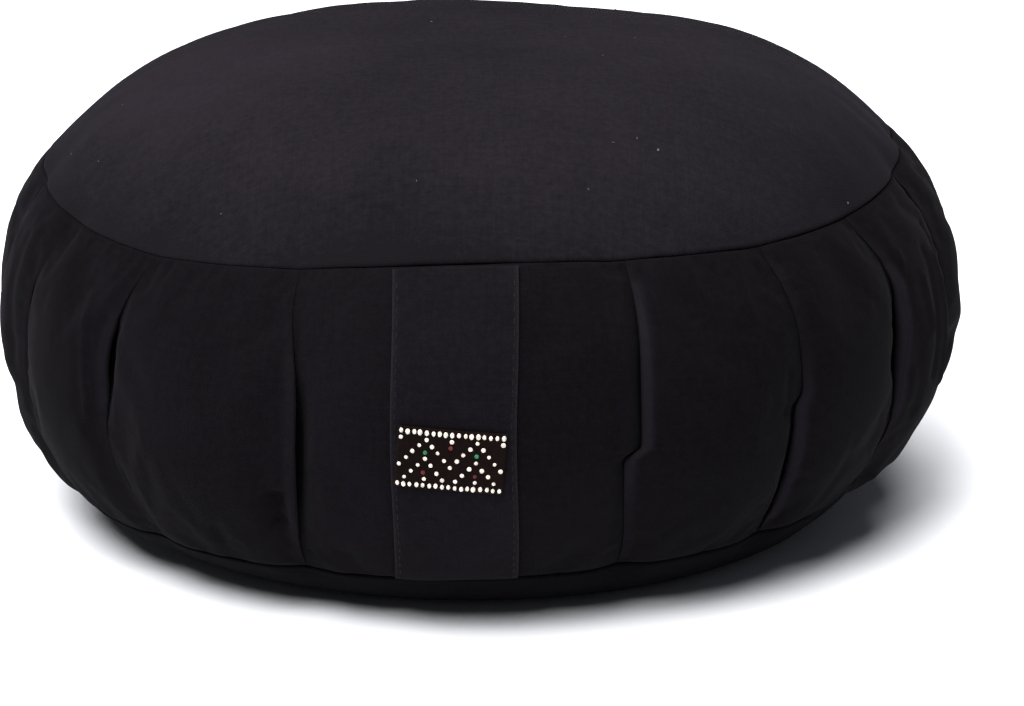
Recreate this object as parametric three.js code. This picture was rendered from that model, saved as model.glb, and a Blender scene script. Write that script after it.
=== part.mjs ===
import * as THREE from "three";

// Zafu, the round, firmly filled floor cushion that is sat on in meditation. A tall side wall,
// folded into sixteen knife pleats, joins a round top panel to a round bottom panel, and a flat
// carry strap with a small woven patch runs down the front from seam to seam.
// Millimetres, +Z up. The origin is the middle of the base, on the floor, and the strap faces -Y.
// Azimuths are in degrees round the cushion: 0 at the front, growing towards +X.

// Filled form
const CROWN_HEIGHT = 160.5;   // floor to the middle of the crown
const CROWN_FLATNESS = 4.0;   // power by which the crown turns down to its seam
const SHOULDER_POWER = 2.7;   // fullness of the wall between belly and top seam
const TUCK_POWER = 2.2;       // fullness of the wall between belly and bottom seam
const REST_RADIUS = 114;      // flat circle that the cushion stands on
const FOOT_POWER = 1.7;       // how the bottom panel curves up to its seam

// Cloth
const PANEL_THICK = 1.6;      // top and bottom panels, with the turned seam allowance
const SEAM_DIP = 0.8;         // depth to which the wall is drawn in beside a panel's rim
const RIM_ROUND = 0.5;        // softening of a panel's upper edge
const GAP = 0.4;              // clear space between neighbouring pieces
const PUCKER = 1.3;           // how far a pleat pulls the seams inwards
const PUCKER_DROP = 0.6;      // share of the pucker that also lowers or lifts the seam
const PUCKER_SPREAD = 3.2;    // degrees
const PUCKER_REACH = 14;      // distance over which a pucker fades out across a panel

// Pleats
const FOLD_STEP = 1.2;        // height of a fold where it is sewn flat
const FOLD_ROUND = 0.9;       // rounding of the upper layer's folded edge
const FOLD_ROUND_RUN = 2.5;   // distance over which that edge rounds over
const CLEFT_RUN = 8.0;        // distance over which the lower layer climbs out of its cleft
const CLEFT_SPREAD = 0.27;    // share of the wall's height over which a cleft gapes
const FOLD_FACE = 0.25;       // degrees taken up by the steep face of a fold
const PUFF = 2.2;             // bulge of the filled cloth between two pleats
const FOLD_HEIGHTS = [0, 0.3, 0.7, 1];     // wall heights of the pleat table's four azimuths

// Carry strap
const STRAP_CENTRE = -6.5;    // sideways place, along X
const STRAP_WIDTH = 38.2;
const STRAP_THICK = 2.4;      // doubled cloth
const STRAP_EDGE_THIN = 0.8;  // how much thinner its stitched edges are
const STRAP_EDGE_LIFT = 0.5;  // how far its edges stand off the wall
const STRAP_ENDS = [0.012, 0.988];         // wall heights of its sewn ends

// Woven patch on the strap
const PATCH = { centreX: -7.7, centreZ: 65, width: 33, height: 18.5, thick: 1.0, tilt: 5 };

// Sections of the filled form, one every 45 degrees from the front towards +X: radius and height
// of the top seam, of the belly and of the bottom seam
const SECTIONS = [
  { seamR: 142, seamZ: 119, bellyR: 163.5, bellyZ: 68, footR: 143, footZ: 17 },
  { seamR: 143, seamZ: 117, bellyR: 162.5, bellyZ: 70, footR: 140, footZ: 18 },
  { seamR: 143, seamZ: 122, bellyR: 163.0, bellyZ: 71, footR: 138, footZ: 21 },
  { seamR: 148, seamZ: 124, bellyR: 163.5, bellyZ: 76, footR: 140, footZ: 19 },
  { seamR: 147, seamZ: 118, bellyR: 162.5, bellyZ: 70, footR: 144, footZ: 17 },
  { seamR: 149, seamZ: 120, bellyR: 163.5, bellyZ: 70, footR: 145, footZ: 16 },
  { seamR: 149, seamZ: 118, bellyR: 163.0, bellyZ: 69, footR: 146, footZ: 16 },
  { seamR: 147, seamZ: 112, bellyR: 163.5, bellyZ: 63, footR: 147, footZ: 16 },
];

// Pleats in order of azimuth. top, high, low and foot place the folded edge at four heights, open
// is the depth of the cleft beside it, deep is the wall height where it gapes most, and lap is the
// side on which the upper layer lies: +1 towards growing azimuth, -1 the other way.
const PLEATS = [
  { top: -167.0, high: -166.0, low: -166.5, foot: -165.5, open: 4.0, deep: 0.50, lap: -1 },
  { top: -144.0, high: -145.5, low: -145.0, foot: -144.0, open: 5.0, deep: 0.58, lap: -1 },
  { top: -122.5, high: -121.0, low: -122.0, foot: -123.0, open: 4.5, deep: 0.45, lap: -1 },
  { top: -100.5, high: -102.0, low: -101.5, foot: -100.0, open: 5.5, deep: 0.55, lap: -1 },
  { top: -80.5, high: -81.5, low: -82.0, foot: -80.0, open: 5.0, deep: 0.60, lap: -1 },
  { top: -62.0, high: -66.0, low: -68.0, foot: -63.5, open: 6.0, deep: 0.56, lap: -1 },
  { top: -43.6, high: -46.8, low: -46.2, foot: -44.6, open: 7.5, deep: 0.62, lap: -1 },
  { top: -22.5, high: -20.1, low: -20.2, foot: -22.0, open: 6.0, deep: 0.33, lap: -1 },
  { top: 18.8, high: 18.3, low: 16.7, foot: 18.5, open: 5.5, deep: 0.58, lap: 1 },
  { top: 38.2, high: 38.8, low: 38.6, foot: 40.2, open: 6.5, deep: 0.38, lap: 1 },
  { top: 55.6, high: 59.3, low: 58.0, foot: 58.5, open: 8.0, deep: 0.55, lap: 1 },
  { top: 77.5, high: 74.5, low: 75.5, foot: 76.5, open: 6.0, deep: 0.66, lap: 1 },
  { top: 93.0, high: 89.5, low: 90.5, foot: 93.0, open: 5.5, deep: 0.66, lap: 1 },
  { top: 114.5, high: 115.5, low: 115.0, foot: 114.0, open: 4.5, deep: 0.48, lap: 1 },
  { top: 140.5, high: 139.5, low: 140.0, foot: 141.0, open: 5.0, deep: 0.56, lap: 1 },
  { top: 166.0, high: 167.0, low: 166.5, foot: 166.0, open: 4.0, deep: 0.50, lap: 1 },
];

// Faceting: columns of points across the cloth between two pleats, rows up the wall, and rings
// of the crown and the base with how many points each has
const COLUMNS = PLEATS.map(() => 7);
const FRONT = PLEATS.findIndex((pleat) => pleat.top > 0) - 1;
const BACK = PLEATS.length - 1;
COLUMNS[FRONT] = 16;
COLUMNS[BACK] = 14;
const COLUMN_TOTAL = COLUMNS.reduce((sum, count) => sum + count, 0);
const WALL_ROWS = [0.02, 0.07, 0.15, 0.26, 0.37, 0.45, 0.53, 0.62, 0.72, 0.82, 0.9, 0.95, 0.985];
const CROWN_RINGS = [
  { at: 0.98, thin: 1 }, { at: 0.93, thin: 1 }, { at: 0.84, thin: 2 }, { at: 0.72, thin: 2 },
  { at: 0.56, thin: 4 }, { at: 0.36, thin: 4 }, { at: 0.17, thin: 8 }, { at: 0, thin: 0 },
];
const BASE_RINGS = [
  { at: 1.94, thin: 1 }, { at: 1.75, thin: 1 }, { at: 1.5, thin: 2 }, { at: 1.25, thin: 2 },
  { at: 1.0, thin: 4 }, { at: 0.5, thin: 8 }, { at: 0, thin: 0 },
];
const STRAP_GRID = { across: 6, along: 26 };
const PATCH_GRID = { across: 9, along: 5 };

const radians = THREE.MathUtils.degToRad;
const mix = THREE.MathUtils.lerp;

// Place in space of a point at a radius, a height and an azimuth
function place(r, z, azimuth) {
  const a = radians(azimuth);
  return new THREE.Vector3(r * Math.sin(a), -r * Math.cos(a), z);
}

// Smooth curve through the rows of the section table, closed round the cushion
function smoothSection(azimuth, key) {
  const count = SECTIONS.length;
  const at = (((azimuth % 360) + 360) % 360) * count / 360;
  const i = Math.floor(at);
  const t = at - i;
  const [a, b, c, d] = [-1, 0, 1, 2].map((k) => SECTIONS[(i + k + count) % count][key]);
  const bend = (2 * a - 5 * b + 4 * c - d) * t * t + (3 * b - a - 3 * c + d) * t * t * t;
  return 0.5 * (2 * b + (c - a) * t + bend);
}

// How strongly the pleats pull a seam inwards at an azimuth; key is top or foot
function pucker(azimuth, key) {
  return PLEATS.reduce((sum, pleat) => {
    const turn = ((azimuth - pleat[key] + 540) % 360) - 180;
    return sum + PUCKER * Math.exp(-((turn / PUCKER_SPREAD) ** 2));
  }, 0);
}

// Section at an azimuth, with the seams drawn in at the pleats; away is the distance from the seam
function section(azimuth, away = 0) {
  const fade = Math.exp(-away / PUCKER_REACH);
  const top = pucker(azimuth, "top") * fade;
  const foot = pucker(azimuth, "foot") * fade;
  return {
    seamR: smoothSection(azimuth, "seamR") - top,
    seamZ: smoothSection(azimuth, "seamZ") - PUCKER_DROP * top,
    bellyR: smoothSection(azimuth, "bellyR"),
    bellyZ: smoothSection(azimuth, "bellyZ"),
    footR: smoothSection(azimuth, "footR") - foot,
    footZ: smoothSection(azimuth, "footZ") + PUCKER_DROP * foot,
  };
}

// Point of a profile moved along its outward normal, given the profile's slope there
function offset(r, z, normalR, normalZ, out, azimuth) {
  const length = Math.hypot(normalR, normalZ);
  return place(r + normalR / length * out, z + normalZ / length * out, azimuth);
}

// Smooth side of the cushion at a wall height from 0, the bottom seam, to 1, the top seam
function sidePoint(azimuth, height, out) {
  const s = section(azimuth);
  const z = mix(s.footZ, s.seamZ, height);
  const above = z > s.bellyZ;
  const run = above ? s.seamZ - s.bellyZ : s.footZ - s.bellyZ;
  const drop = above ? s.bellyR - s.seamR : s.bellyR - s.footR;
  const power = above ? SHOULDER_POWER : TUCK_POWER;
  const t = (z - s.bellyZ) / run;
  const slope = -drop * power * t ** (power - 1) / run;
  return offset(s.bellyR - drop * t ** power, z, 1, -slope, out, azimuth);
}

// Azimuth of a pleat's folded edge at a wall height
function foldAzimuth(pleat, height) {
  const stops = [pleat.foot, pleat.low, pleat.high, pleat.top];
  let k = 0;
  while (k < stops.length - 2 && height > FOLD_HEIGHTS[k + 1]) k += 1;
  const t = (height - FOLD_HEIGHTS[k]) / (FOLD_HEIGHTS[k + 1] - FOLD_HEIGHTS[k]);
  return mix(stops[k], stops[k + 1], t);
}

// Depth of the cleft beside a pleat: none at the seams, where the folds are sewn flat
function cleftDepth(pleat, height) {
  const sewn = Math.min(1, height * (1 - height) / 0.06);
  const gape = Math.exp(-(((height - pleat.deep) / CLEFT_SPREAD) ** 2));
  return sewn * (FOLD_STEP + (pleat.open - FOLD_STEP) * gape);
}

// Relief of the cloth at a distance from the pleat at its edge: the upper layer rounds over, and
// the lower layer dives into the cleft
function edgeRelief(pleat, side, distance, height) {
  if (pleat.lap === side) return -FOLD_ROUND * Math.exp(-distance / FOLD_ROUND_RUN);
  return -cleftDepth(pleat, height) * Math.exp(-distance / CLEFT_RUN);
}

// Azimuths of the two pleats that bound a stretch of wall
function wallStretch(index, height) {
  const from = foldAzimuth(PLEATS[index], height);
  const to = foldAzimuth(PLEATS[(index + 1) % PLEATS.length], height);
  return { from, to: to > from ? to : to + 360 };
}

// Point of the pleated wall, a share of the way across a stretch
function wallPoint(index, share, height, out = 0) {
  const { from, to } = wallStretch(index, height);
  const azimuth = mix(from + FOLD_FACE / 2, to - FOLD_FACE / 2, share);
  const width = radians(to - from) * smoothSection(azimuth, "bellyR");
  const puff = PUFF * 4 * share * (1 - share) * Math.sin(Math.PI * height);
  const before = edgeRelief(PLEATS[index], 1, share * width, height);
  const after = edgeRelief(PLEATS[(index + 1) % PLEATS.length], -1, (1 - share) * width, height);
  return sidePoint(azimuth, height, puff + before + after + out);
}

// Columns of points round the wall: a stretch and a share across it, closer beside the folds
const columns = COLUMNS.flatMap((count, index) => Array.from({ length: count }, (_, k) => {
  return { index, share: 0.5 - 0.5 * Math.cos(Math.PI * k / (count - 1)) };
}));

// Azimuth of a column at a seam, evened out towards the middle of the panel
function columnAzimuth(k, height, even) {
  const { index, share } = columns[k];
  const { from, to } = wallStretch(index, height);
  const seam = mix(from + FOLD_FACE / 2, to - FOLD_FACE / 2, share);
  const first = wallStretch(0, height).from;
  return mix(seam, first + 360 * k / COLUMN_TOTAL, even);
}

// Ring of points for every column, or for one column in thin
function ring(thin, point) {
  const count = thin ? COLUMN_TOTAL / thin : 1;
  return Array.from({ length: count }, (_, k) => point(k * thin));
}

// Crown surface: q runs from 0, the middle, to 1, the top seam; past slides along the surface
function crownPoint(azimuth, q, inset, past = 0) {
  const s = section(azimuth, (1 - q) * smoothSection(azimuth, "seamR"));
  const rise = CROWN_HEIGHT - s.seamZ;
  const slope = CROWN_FLATNESS * rise * q ** (CROWN_FLATNESS - 1) / s.seamR;
  const length = Math.hypot(slope, 1);
  const r = s.seamR * q + past / length;
  const z = s.seamZ + rise * (1 - q ** CROWN_FLATNESS) - past * slope / length;
  return offset(r, z, slope, 1, -inset, azimuth);
}

// Base surface: q runs from 0, the middle, to 1, the edge of the flat, to 2, the bottom seam
function basePoint(azimuth, q, inset, past = 0) {
  const s = section(azimuth, (2 - q) * (smoothSection(azimuth, "footR") - REST_RADIUS));
  const curved = Math.max(0, q - 1);
  const run = s.footR - REST_RADIUS;
  const slope = s.footZ * FOOT_POWER * curved ** (FOOT_POWER - 1) / run;
  const length = Math.hypot(slope, 1);
  const r = REST_RADIUS * Math.min(1, q) + run * curved + past / length;
  const z = s.footZ * curved ** FOOT_POWER + past * slope / length;
  return offset(r, z, slope, -1, -inset, azimuth);
}

// Rings of a round surface from its rim to its middle, a distance inside the outer cloth
function crownRings(inset) {
  return CROWN_RINGS.map(({ at, thin }) => {
    return ring(thin, (k) => crownPoint(columnAzimuth(k, 1, 1 - at), at, inset));
  });
}
function baseRings(inset) {
  return BASE_RINGS.map(({ at, thin }) => {
    return ring(thin, (k) => basePoint(columnAzimuth(k, 0, 1 - at / 2), at, inset));
  });
}

// Ring at the rim of the crown or of the base
function crownRim(inset, past = 0) {
  return ring(1, (k) => crownPoint(columnAzimuth(k, 1, 0), 1, inset, past));
}
function baseRim(inset, past = 0) {
  return ring(1, (k) => basePoint(columnAzimuth(k, 0, 0), 2, inset, past));
}

// Closed surface through rings from the lowest middle point to the highest one. Neighbouring
// rings have equal counts, or one has twice the other's, or one is a single point. Diagonals run
// the same way whether the rings widen or narrow, so that layers of cloth stay parallel.
function closedRings(rings) {
  const starts = [];
  const points = [];
  rings.forEach((loop) => {
    starts.push(points.length);
    points.push(...loop);
  });
  const faces = [];
  for (let k = 0; k + 1 < rings.length; k += 1) {
    const low = rings[k].length;
    const high = rings[k + 1].length;
    const a = (j) => starts[k] + j % low;
    const b = (j) => starts[k + 1] + j % high;
    if (low === 1) {
      for (let j = 0; j < high; j += 1) faces.push([a(0), b(j + 1), b(j)]);
    } else if (high === 1) {
      for (let j = 0; j < low; j += 1) faces.push([a(j), a(j + 1), b(0)]);
    } else if (low === high && widens(rings[k], rings[k + 1])) {
      for (let j = 0; j < low; j += 1) faces.push([a(j), a(j + 1), b(j)], [a(j + 1), b(j + 1), b(j)]);
    } else if (low === high) {
      for (let j = 0; j < low; j += 1) faces.push([a(j), a(j + 1), b(j + 1)], [a(j), b(j + 1), b(j)]);
    } else if (low === 2 * high) {
      for (let j = 0; j < high; j += 1) {
        faces.push([a(2 * j), a(2 * j + 1), b(j)], [a(2 * j + 1), b(j + 1), b(j)]);
        faces.push([a(2 * j + 1), a(2 * j + 2), b(j + 1)]);
      }
    } else {
      for (let j = 0; j < low; j += 1) {
        faces.push([a(j), b(2 * j + 1), b(2 * j)], [a(j), a(j + 1), b(2 * j + 1)]);
        faces.push([a(j + 1), b(2 * j + 2), b(2 * j + 1)]);
      }
    }
  }
  return solid(points, faces);
}

function widens(ringA, ringB) {
  return Math.hypot(ringB[0].x, ringB[0].y) > Math.hypot(ringA[0].x, ringA[0].y);
}

// Closed sheet between an outer and an inner grid of points, indexed along and then across
function closedSheet(along, across, outer, inner) {
  const points = [];
  for (let i = 0; i < along; i += 1) {
    for (let j = 0; j < across; j += 1) points.push(outer(i, j), inner(i, j));
  }
  const at = (i, j, side) => 2 * (i * across + j) + side;
  const faces = [];
  const quad = (a, b, c, d) => faces.push([a, b, c], [a, c, d]);
  for (let i = 0; i + 1 < along; i += 1) {
    for (let j = 0; j + 1 < across; j += 1) {
      quad(at(i, j, 0), at(i, j + 1, 0), at(i + 1, j + 1, 0), at(i + 1, j, 0));
      quad(at(i, j, 1), at(i + 1, j, 1), at(i + 1, j + 1, 1), at(i, j + 1, 1));
    }
    quad(at(i, 0, 1), at(i, 0, 0), at(i + 1, 0, 0), at(i + 1, 0, 1));
    quad(at(i, across - 1, 0), at(i, across - 1, 1), at(i + 1, across - 1, 1), at(i + 1, across - 1, 0));
  }
  for (let j = 0; j + 1 < across; j += 1) {
    quad(at(0, j, 1), at(0, j + 1, 1), at(0, j + 1, 0), at(0, j, 0));
    quad(at(along - 1, j, 0), at(along - 1, j + 1, 0), at(along - 1, j + 1, 1), at(along - 1, j, 1));
  }
  return solid(points, faces);
}

function solid(points, faces) {
  const geometry = new THREE.BufferGeometry();
  geometry.setFromPoints(points);
  geometry.setIndex(faces.flat());
  geometry.computeVertexNormals();
  return geometry;
}

// Filled cushion: pleated wall, crown under the top panel and base over the bottom panel
function cushionBody() {
  const under = PANEL_THICK + GAP;
  const wall = WALL_ROWS.map((height) => {
    return ring(1, (k) => wallPoint(columns[k].index, columns[k].share, height));
  });
  return closedRings([
    ...baseRings(under).reverse(),
    baseRim(under, GAP),
    baseRim(SEAM_DIP, GAP),
    ...wall,
    crownRim(SEAM_DIP, GAP),
    crownRim(under, GAP),
    ...crownRings(under),
  ]);
}

// Round cut cloth on the crown
function topPanel() {
  return closedRings([
    ...crownRings(PANEL_THICK).reverse(),
    crownRim(PANEL_THICK),
    crownRim(RIM_ROUND),
    ...crownRings(0),
  ]);
}

// Round cut cloth under the base, flat where it rests
function bottomPanel() {
  return closedRings([
    ...baseRings(0).reverse(),
    baseRim(RIM_ROUND),
    baseRim(PANEL_THICK),
    ...baseRings(PANEL_THICK),
  ]);
}

// Point at a sideways place on the front of the wall
function frontPoint(x, height, out) {
  const { from, to } = wallStretch(FRONT, height);
  let azimuth = 0;
  let point;
  for (let pass = 0; pass < 4; pass += 1) {
    const share = (azimuth - from - FOLD_FACE / 2) / (to - from - FOLD_FACE);
    point = wallPoint(FRONT, share, height, out);
    azimuth = THREE.MathUtils.radToDeg(Math.asin(x / Math.hypot(point.x, point.y)));
  }
  return point;
}

// Flat carry strap of doubled cloth, sewn into both seams
function carryStrap() {
  const { along, across } = STRAP_GRID;
  const at = (i, j, outer) => {
    const side = 2 * j / (across - 1) - 1;
    const height = mix(STRAP_ENDS[0], STRAP_ENDS[1], i / (along - 1));
    const lift = GAP + STRAP_EDGE_LIFT * side ** 4;
    const thick = STRAP_THICK - STRAP_EDGE_THIN * side ** 4;
    return frontPoint(STRAP_CENTRE + side * STRAP_WIDTH / 2, height, lift + outer * thick);
  };
  return closedSheet(along, across, (i, j) => at(i, j, 1), (i, j) => at(i, j, 0));
}

// Small woven patch sewn on the strap, a little askew
function labelPatch() {
  const { along, across } = PATCH_GRID;
  const front = section(0);
  const tilt = radians(PATCH.tilt);
  const back = GAP + STRAP_THICK + GAP;
  const at = (i, j, out) => {
    const a = PATCH.width * (j / (across - 1) - 0.5);
    const b = PATCH.height * (i / (along - 1) - 0.5);
    const x = PATCH.centreX + a * Math.cos(tilt) + b * Math.sin(tilt);
    const z = PATCH.centreZ - a * Math.sin(tilt) + b * Math.cos(tilt);
    return frontPoint(x, (z - front.footZ) / (front.seamZ - front.footZ), out);
  };
  return closedSheet(along, across, (i, j) => at(i, j, back + PATCH.thick), (i, j) => at(i, j, back));
}

// Named mesh with its own matt cloth material
function piece(name, geometry, color, roughness) {
  const material = new THREE.MeshStandardMaterial({ color, roughness, metalness: 0 });
  const mesh = new THREE.Mesh(geometry, material);
  mesh.name = name;
  return mesh;
}

const zafu = new THREE.Group();
zafu.add(piece("cushion_body", cushionBody(), 0x1f1d23, 0.92));
zafu.add(piece("top_panel", topPanel(), 0x2b282e, 0.92));
zafu.add(piece("bottom_panel", bottomPanel(), 0x1c1a20, 0.92));
zafu.add(piece("carry_strap", carryStrap(), 0x232127, 0.9));
zafu.add(piece("label_patch", labelPatch(), 0x241a17, 0.85));

export default zafu;
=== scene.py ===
import math

import bpy
import numpy as np
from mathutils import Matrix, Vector


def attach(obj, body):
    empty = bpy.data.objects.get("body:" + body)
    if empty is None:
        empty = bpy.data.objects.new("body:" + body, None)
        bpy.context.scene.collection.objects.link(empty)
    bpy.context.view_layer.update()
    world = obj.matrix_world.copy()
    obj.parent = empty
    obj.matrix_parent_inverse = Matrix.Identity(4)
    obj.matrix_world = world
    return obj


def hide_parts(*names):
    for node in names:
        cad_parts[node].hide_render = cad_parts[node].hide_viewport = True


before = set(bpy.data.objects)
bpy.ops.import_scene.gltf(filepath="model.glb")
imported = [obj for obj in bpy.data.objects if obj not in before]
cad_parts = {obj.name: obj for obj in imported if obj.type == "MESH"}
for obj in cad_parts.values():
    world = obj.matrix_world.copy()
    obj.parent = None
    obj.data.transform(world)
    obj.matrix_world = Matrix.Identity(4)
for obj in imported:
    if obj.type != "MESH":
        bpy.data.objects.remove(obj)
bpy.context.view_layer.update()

# Zafu: a round filled floor cushion with a knife-pleated wall, a top and a bottom panel, and a
# carry strap with a small patch down the front. Surfaces are worked out in millimetres and
# turned into metres as meshes. Azimuths are degrees: 0 at the front, growing towards +X.
MM = 0.001

# Filled form, as the solids have it: height and flatness of the crown, how sharply the wall turns
# in above and below the belly, radius of the flat underside, and how the base curves up from it
CROWN_HEIGHT = 160.5
CROWN_FLATNESS = 4.0
SHOULDER_POWER = 2.7
TUCK_POWER = 2.2
REST_RADIUS = 114.0
FOOT_POWER = 1.7

# Mean sizes, for lengths measured along the cloth: radius of the belly, of the wall as a whole
# and of the top seam, rise of the wall, and rise of the wall behind the strap
BELLY_RADIUS = 163.0
WALL_RADIUS = 160.0
SEAM_RADIUS = 145.0
WALL_RISE = 120.0
STRAP_RISE = 118.0

# Panels and seams: how deep a seam lies, how far and over what run the wall is drawn in there, how
# fine its raggedness is, how dark the cloth is beside it, and how a pleat puckers it
PANEL_THICK = 1.6
SEAM_DIP = 0.8
SEAM_DRAW = 0.5
SEAM_DRAW_RUN = 1.3
SEAM_RAGGED = 9.0
SEAM_SHADE = -0.4
SEAM_SHADE_RUN = 20.0
GAP = 0.4
PUCKER = 1.3
PUCKER_DROP = 0.6
PUCKER_SPREAD = 3.2
PUCKER_REACH = 14.0

# Rolled edge of a panel: places along its surface, and depths below it
RIM_PROFILE = ((-2.6, 0.0), (-1.7, -0.12), (-0.9, -0.08), (-0.35, 0.2), (-0.05, 0.6), (0.0, 1.05))

# Folded edges: how far and over what run they round down, how far the cloth returns behind them,
# the puff of the wall between two, how wide the paler rolled edge (wear and painted highlight) and
# the painted shade under it reach, and the heights of their four stops
FOLD_ROUND = 1.1
FOLD_ROUND_RUN = 2.8
FOLD_TUCK = 7.5
PUFF = 2.2
FOLD_TONE_RUN = 3.4
FOLD_HEIGHTS = (0, 0.3, 0.7, 1)
FOLD_EASE = 0.1
FOLD_ARC_POINTS = 9
FOLD_LAYER_POINTS = 5

# Carry strap, its stitched channels and stitches, and the patch
STRAP_CENTRE = -6.5
STRAP_WIDTH = 38.2
STRAP_THICK = 2.0
STRAP_EDGE_THIN = 0.8
STRAP_EDGE_LIFT = 0.3
STRAP_ENDS = (0.012, 0.988)
STRAP_SAG = 0.55
STRAP_SAG_SIZE = 9.0
GROOVE_DEPTH = 0.2
GROOVE_RUN = 0.6
EDGE_ROUND = 0.45
STITCH_INSET = 1.5
STITCH_PITCH = 3.7
STITCH_WIDTH = 0.42
STITCH_HEIGHT = 0.34
PATCH = dict(x=-7.7, z=65.0, width=33.0, height=18.5, thick=1.0, tilt=5.0)
PATCH_GRID = (22, 38)

# Dots of the patch, row by row from its top edge: ivory, green and red; their pitch across and
# down, and the length of a dot, its height up the patch in the borders and inside, and its relief
PATCH_CHART = (
    "iiiiiiiiiiiiiiiii",
    "i...i...i...i...i",
    "...i.i..r..i.i...",
    "..i.g.i...i.g.i..",
    ".i..i..i.i..i..i.",
    "i..i.i..i..i.i..i",
    "..i.r.i...i.r.i..",
    ".i..i..i.i..i..i.",
    "iiiiiiiiiiiiiiiii",
)
DOT_PITCH = (1.93, 2.0)
DOT_SIZE = dict(length=1.3, border=1.75, inside=1.35, relief=0.7)
DOT_STRAY = 0.09

# Sections every 45 degrees: radius and height of the top seam, the belly and the bottom seam,
# and how far the top seam gapes
SECTIONS = np.array([
    (142, 119, 163.5, 68, 143, 17, 0.7),
    (143, 117, 162.5, 70, 140, 18, 1.0),
    (143, 122, 163.0, 71, 138, 21, 0.8),
    (148, 124, 163.5, 76, 140, 19, 0.6),
    (147, 118, 162.5, 70, 144, 17, 0.5),
    (149, 120, 163.5, 70, 145, 16, 0.5),
    (149, 118, 163.0, 69, 146, 16, 0.25),
    (147, 112, 163.5, 63, 147, 16, 0.02),
], float)

# Pleats: azimuth of the folded edge at the top seam, two heights between and the bottom seam;
# depth of the cleft, the wall height where it gapes most, over what share of the height, and the
# distance over which the lower layer climbs out of it; step between the layers where they lie
# flat, radius of the rolled edge, and the side its upper layer lies on
PLEAT_COLUMNS = ("top", "high", "low", "foot", "open", "deep", "spread", "run", "step", "roll",
                 "lap")
PLEATS = [dict(zip(PLEAT_COLUMNS, row)) for row in (
    (-167.0, -166.0, -166.5, -165.5, 3.5, 0.50, 0.26, 4.0, 0.7, 1.0, -1),
    (-144.0, -145.5, -145.0, -144.0, 4.5, 0.58, 0.24, 5.0, 0.6, 1.1, -1),
    (-122.5, -121.0, -122.0, -123.0, 4.0, 0.45, 0.28, 4.0, 0.8, 1.0, -1),
    (-100.5, -102.0, -101.5, -100.0, 5.0, 0.55, 0.22, 5.5, 0.6, 1.1, -1),
    (-80.5, -81.5, -82.0, -80.0, 4.5, 0.60, 0.22, 4.5, 0.5, 1.0, -1),
    (-62.0, -66.6, -68.6, -64.0, 5.4, 0.54, 0.15, 3.2, 0.03, 1.0, -1),
    (-43.6, -47.2, -46.2, -44.6, 6.4, 0.65, 0.15, 3.6, 0.05, 1.1, -1),
    (-22.5, -20.0, -20.4, -22.0, 7.4, 0.44, 0.27, 5.0, 0.3, 1.1, -1),
    (16.8, 16.3, 16.4, 18.5, 4.0, 0.64, 0.26, 2.6, 1.0, 1.6, 1),
    (37.2, 37.9, 38.9, 40.4, 4.6, 0.28, 0.24, 4.2, 0.9, 1.6, 1),
    (55.6, 59.3, 58.0, 58.5, 8.0, 0.58, 0.20, 7.0, 0.4, 2.0, 1),
    (77.5, 74.5, 75.5, 76.5, 5.5, 0.66, 0.22, 6.0, 0.8, 1.0, 1),
    (93.0, 89.5, 90.5, 93.0, 5.0, 0.70, 0.22, 6.5, 0.6, 1.1, 1),
    (114.5, 115.5, 115.0, 114.0, 4.0, 0.48, 0.28, 4.0, 0.8, 1.0, 1),
    (140.5, 139.5, 140.0, 141.0, 4.5, 0.56, 0.24, 5.0, 0.6, 1.1, 1),
    (166.0, 167.0, 166.5, 166.0, 3.5, 0.50, 0.26, 4.0, 0.7, 1.0, 1),
)]
FRONT = next(i for i, pleat in enumerate(PLEATS) if pleat["top"] > 0) - 1

# Jogs: a folded edge that steps aside above a wall height; pleat, height, run, degrees
JOGS = ((FRONT + 1, 0.435, 0.010, 2.0), (FRONT + 2, 0.53, 0.016, 1.0))

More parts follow.
